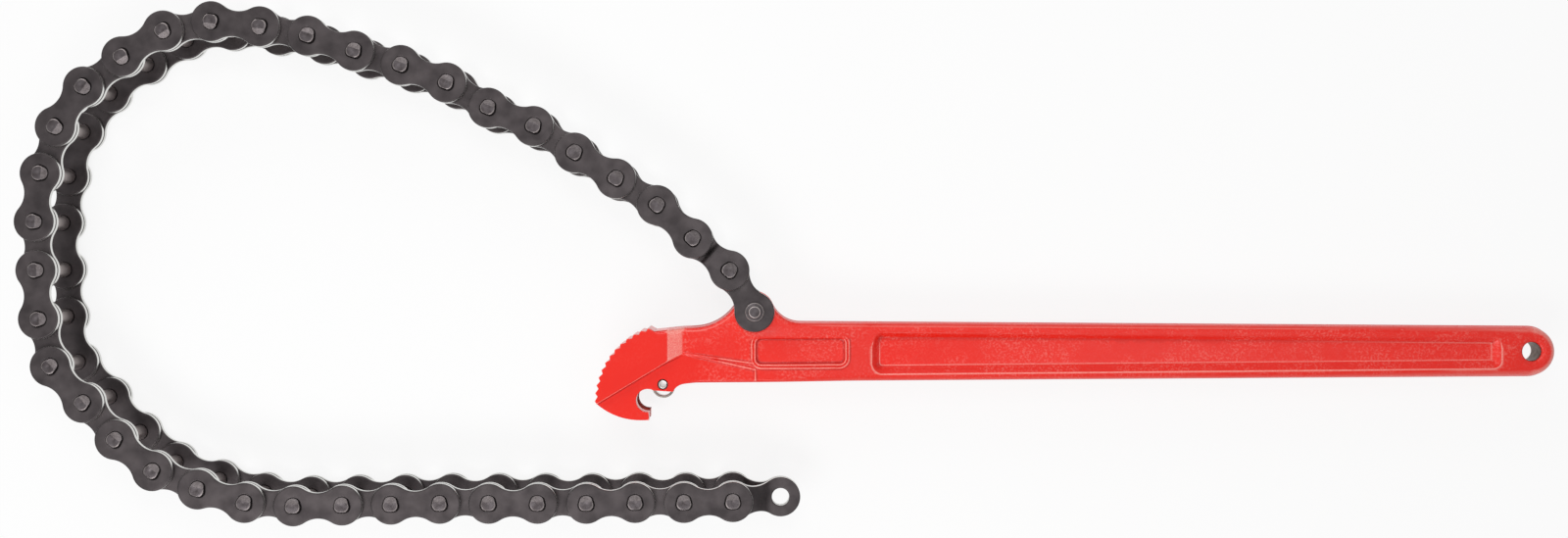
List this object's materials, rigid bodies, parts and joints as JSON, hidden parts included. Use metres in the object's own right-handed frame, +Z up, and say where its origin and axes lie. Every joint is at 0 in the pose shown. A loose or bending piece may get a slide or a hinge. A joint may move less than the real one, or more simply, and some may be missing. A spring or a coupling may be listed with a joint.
{
  "type": "chain flange wrench",
  "caption": "Chain wrench for pipes and flanges: a bar handle with a toothed jaw and forked hook, and a long loop of wide riveted flat-link chain that ends in an eye.",
  "frame": {"origin": "below the middle of the whole wrench as it lies, on the plane that the chain's lower rivet heads rest on", "axes": "+X along the handle towards its hanging hole, +Y across it towards the chain's pivot, +Z up through the width of the chain"},
  "size_m": [0.8104, 0.2732, 0.0454],
  "materials": {
    "red_paint": "satin paint over forged steel",
    "blackened_steel": "blackened, lightly oiled steel",
    "bright_steel": "bright steel"
  },
  "bodies": {
    "wrench": {"wrench_body": "red_paint", "spring_pin": "bright_steel"},
    "link_01": {"pivot_plate_front": "blackened_steel", "pivot_plate_back": "blackened_steel", "pivot_pin": "blackened_steel"},
    "link_02": {"offset_link": "blackened_steel"},
    "link_03": {"outer_link_03": "blackened_steel"},
    "link_04": {"inner_plate_04_front": "blackened_steel", "inner_plate_04_back": "blackened_steel"},
    "link_05": {"outer_link_05": "blackened_steel"},
    "link_06": {"inner_plate_06_front": "blackened_steel", "inner_plate_06_back": "blackened_steel"},
    "link_07": {"outer_link_07": "blackened_steel"},
    "link_08": {"inner_plate_08_front": "blackened_steel", "inner_plate_08_back": "blackened_steel"},
    "link_09": {"outer_link_09": "blackened_steel"},
    "link_10": {"inner_plate_10_front": "blackened_steel", "inner_plate_10_back": "blackened_steel"},
    "link_11": {"outer_link_11": "blackened_steel"},
    "link_12": {"inner_plate_12_front": "blackened_steel", "inner_plate_12_back": "blackened_steel"},
    "link_13": {"outer_link_13": "blackened_steel"},
    "link_14": {"inner_plate_14_front": "blackened_steel", "inner_plate_14_back": "blackened_steel"},
    "link_15": {"outer_link_15": "blackened_steel"},
    "link_16": {"inner_plate_16_front": "blackened_steel", "inner_plate_16_back": "blackened_steel"},
    "link_17": {"outer_link_17": "blackened_steel"},
    "link_18": {"inner_plate_18_front": "blackened_steel", "inner_plate_18_back": "blackened_steel"},
    "link_19": {"outer_link_19": "blackened_steel"},
    "link_20": {"inner_plate_20_front": "blackened_steel", "inner_plate_20_back": "blackened_steel"},
    "link_21": {"outer_link_21": "blackened_steel"},
    "link_22": {"inner_plate_22_front": "blackened_steel", "inner_plate_22_back": "blackened_steel"},
    "link_23": {"outer_link_23": "blackened_steel"},
    "link_24": {"inner_plate_24_front": "blackened_steel", "inner_plate_24_back": "blackened_steel"},
    "link_25": {"outer_link_25": "blackened_steel"},
    "link_26": {"inner_plate_26_front": "blackened_steel", "inner_plate_26_back": "blackened_steel"},
    "link_27": {"outer_link_27": "blackened_steel"},
    "link_28": {"inner_plate_28_front": "blackened_steel", "inner_plate_28_back": "blackened_steel"},
    "link_29": {"outer_link_29": "blackened_steel"},
    "link_30": {"inner_plate_30_front": "blackened_steel", "inner_plate_30_back": "blackened_steel"},
    "link_31": {"outer_link_31": "blackened_steel"},
    "link_32": {"inner_plate_32_front": "blackened_steel", "inner_plate_32_back": "blackened_steel"},
    "link_33": {"outer_link_33": "blackened_steel"},
    "link_34": {"inner_plate_34_front": "blackened_steel", "inner_plate_34_back": "blackened_steel"},
    "link_35": {"outer_link_35": "blackened_steel"},
    "link_36": {"inner_plate_36_front": "blackened_steel", "inner_plate_36_back": "blackened_steel"},
    "link_37": {"outer_link_37": "blackened_steel"},
    "link_38": {"end_link": "blackened_steel"},
    "latch": {"latch_ring": "bright_steel"}
  },
  "joints": [
    {"name": "pivot_hinge", "type": "hinge", "parent": "wrench", "child": "link_01", "pos_m": [-0.02005, -0.02526, 0.0227], "axis": [0, 0, -1], "range_deg": [-47, 31]},
    {"name": "hinge_02", "type": "hinge", "parent": "link_01", "child": "link_02", "pos_m": [-0.03313, -0.00349, 0.0227], "axis": [0, 0, 1], "range_deg": [-115, 42]},
    {"name": "hinge_03", "type": "hinge", "parent": "link_02", "child": "link_03", "pos_m": [-0.0523, 0.01317, 0.0227], "axis": [0, 0, -1], "range_deg": [-33, 65]},
    {"name": "hinge_04", "type": "hinge", "parent": "link_03", "child": "link_04", "pos_m": [-0.07088, 0.0305, 0.0227], "axis": [0, 0, -1], "range_deg": [-28, 53]},
    {"name": "hinge_05", "type": "hinge", "parent": "link_04", "child": "link_05", "pos_m": [-0.09218, 0.04433, 0.0227], "axis": [0, 0, -1], "range_deg": [-23, 30]},
    {"name": "hinge_06", "type": "hinge", "parent": "link_05", "child": "link_06", "pos_m": [-0.11372, 0.05779, 0.0227], "axis": [0, 0, 1], "range_deg": [-85, 20]},
    {"name": "hinge_07", "type": "hinge", "parent": "link_06", "child": "link_07", "pos_m": [-0.13502, 0.07162, 0.0227], "axis": [0, 0, 1], "range_deg": [-22, 17]},
    {"name": "hinge_08", "type": "hinge", "parent": "link_07", "child": "link_08", "pos_m": [-0.15857, 0.08114, 0.0227], "axis": [0, 0, 1], "range_deg": [-15, 15]},
    {"name": "hinge_09", "type": "hinge", "parent": "link_08", "child": "link_09", "pos_m": [-0.18034, 0.09422, 0.0227], "axis": [0, 0, -1], "range_deg": [-13, 60]},
    {"name": "hinge_10", "type": "hinge", "parent": "link_09", "child": "link_10", "pos_m": [-0.20406, 0.10332, 0.0227], "axis": [0, 0, -1], "range_deg": [-12, 57]},
    {"name": "hinge_11", "type": "hinge", "parent": "link_10", "child": "link_11", "pos_m": [-0.22835, 0.11075, 0.0227], "axis": [0, 0, 1], "range_deg": [-55, 10]},
    {"name": "hinge_12", "type": "hinge", "parent": "link_11", "child": "link_12", "pos_m": [-0.2525, 0.1186, 0.0227], "axis": [0, 0, 1], "range_deg": [-55, 9]},
    {"name": "hinge_13", "type": "hinge", "parent": "link_12", "child": "link_13", "pos_m": [-0.27744, 0.12344, 0.0227], "axis": [0, 0, 1], "range_deg": [-25, 8]},
    {"name": "hinge_14", "type": "hinge", "parent": "link_13", "child": "link_14", "pos_m": [-0.3027, 0.1261, 0.0227], "axis": [0, 0, -1], "range_deg": [-8, 38]},
    {"name": "hinge_15", "type": "hinge", "parent": "link_14", "child": "link_15", "pos_m": [-0.32763, 0.12125, 0.0227], "axis": [0, 0, -1], "range_deg": [-7, 87]},
    {"name": "hinge_16", "type": "hinge", "parent": "link_15", "child": "link_16", "pos_m": [-0.34917, 0.10779, 0.0227], "axis": [0, 0, 1], "range_deg": [-72, 7]},
    {"name": "hinge_17", "type": "hinge", "parent": "link_16", "child": "link_17", "pos_m": [-0.36919, 0.09216, 0.0227], "axis": [0, 0, 1], "range_deg": [-35, 6]},
    {"name": "hinge_18", "type": "hinge", "parent": "link_17", "child": "link_18", "pos_m": [-0.38376, 0.07135, 0.0227], "axis": [0, 0, -1], "range_deg": [-6, 115]},
    {"name": "hinge_19", "type": "hinge", "parent": "link_18", "child": "link_19", "pos_m": [-0.39161, 0.04719, 0.0227], "axis": [0, 0, 1], "range_deg": [-66, 6]},
    {"name": "hinge_20", "type": "hinge", "parent": "link_19", "child": "link_20", "pos_m": [-0.3947, 0.02198, 0.0227], "axis": [0, 0, -1], "range_deg": [-6, 56]},
    {"name": "hinge_21", "type": "hinge", "parent": "link_20", "child": "link_21", "pos_m": [-0.39382, -0.0034, 0.0227], "axis": [0, 0, 1], "range_deg": [-71, 6]},
    {"name": "hinge_22", "type": "hinge", "parent": "link_21", "child": "link_22", "pos_m": [-0.39248, -0.02877, 0.0227], "axis": [0, 0, -1], "range_deg": [-6, 60]},
    {"name": "hinge_23", "type": "hinge", "parent": "link_22", "child": "link_23", "pos_m": [-0.38634, -0.05341, 0.0227], "axis": [0, 0, 1], "range_deg": [-45, 6]},
    {"name": "hinge_24", "type": "hinge", "parent": "link_23", "child": "link_24", "pos_m": [-0.36934, -0.07229, 0.0227], "axis": [0, 0, 1], "range_deg": [-21, 6]},
    {"name": "hinge_25", "type": "hinge", "parent": "link_24", "child": "link_25", "pos_m": [-0.35268, -0.09146, 0.0227], "axis": [0, 0, -1], "range_deg": [-7, 115]},
    {"name": "hinge_26", "type": "hinge", "parent": "link_25", "child": "link_26", "pos_m": [-0.33322, -0.10779, 0.0227], "axis": [0, 0, 1], "range_deg": [-110, 7]},
    {"name": "hinge_27", "type": "hinge", "parent": "link_26", "child": "link_27", "pos_m": [-0.30967, -0.1173, 0.0227], "axis": [0, 0, 1], "range_deg": [-63, 8]},
    {"name": "hinge_28", "type": "hinge", "parent": "link_27", "child": "link_28", "pos_m": [-0.28526, -0.1243, 0.0227], "axis": [0, 0, -1], "range_deg": [-9, 89]},
    {"name": "hinge_29", "type": "hinge", "parent": "link_28", "child": "link_29", "pos_m": [-0.25992, -0.12607, 0.0227], "axis": [0, 0, -1], "range_deg": [-10, 40]},
    {"name": "hinge_30", "type": "hinge", "parent": "link_29", "child": "link_30", "pos_m": [-0.23452, -0.12563, 0.0227], "axis": [0, 0, -1], "range_deg": [-11, 26]},
    {"name": "hinge_31", "type": "hinge", "parent": "link_30", "child": "link_31", "pos_m": [-0.20913, -0.12519, 0.0227], "axis": [0, 0, 1], "range_deg": [-88, 13]},
    {"name": "hinge_32", "type": "hinge", "parent": "link_31", "child": "link_32", "pos_m": [-0.18373, -0.12474, 0.0227], "axis": [0, 0, -1], "range_deg": [-15, 50]},
    {"name": "hinge_33", "type": "hinge", "parent": "link_32", "child": "link_33", "pos_m": [-0.15833, -0.12474, 0.0227], "axis": [0, 0, 1], "range_deg": [-100, 18]},
    {"name": "hinge_34", "type": "hinge", "parent": "link_33", "child": "link_34", "pos_m": [-0.13293, -0.12474, 0.0227], "axis": [0, 0, -1], "range_deg": [-22, 115]},
    {"name": "hinge_35", "type": "hinge", "parent": "link_34", "child": "link_35", "pos_m": [-0.10753, -0.12474, 0.0227], "axis": [0, 0, 1], "range_deg": [-88, 28]},
    {"name": "hinge_36", "type": "hinge", "parent": "link_35", "child": "link_36", "pos_m": [-0.08213, -0.1243, 0.0227], "axis": [0, 0, -1], "range_deg": [-40, 115]},
    {"name": "hinge_37", "type": "hinge", "parent": "link_36", "child": "link_37", "pos_m": [-0.05673, -0.1243, 0.0227], "axis": [0, 0, 1], "range_deg": [-115, 83]},
    {"name": "hinge_38", "type": "hinge", "parent": "link_37", "child": "link_38", "pos_m": [-0.03134, -0.12386, 0.0227], "axis": [0, 0, -1], "range_deg": [-120, 115]},
    {"name": "latch_hinge", "type": "hinge", "parent": "wrench", "child": "latch", "pos_m": [-0.06805, -0.06326, 0.0227], "axis": [0, 0, 1], "continuous": true}
  ]
}
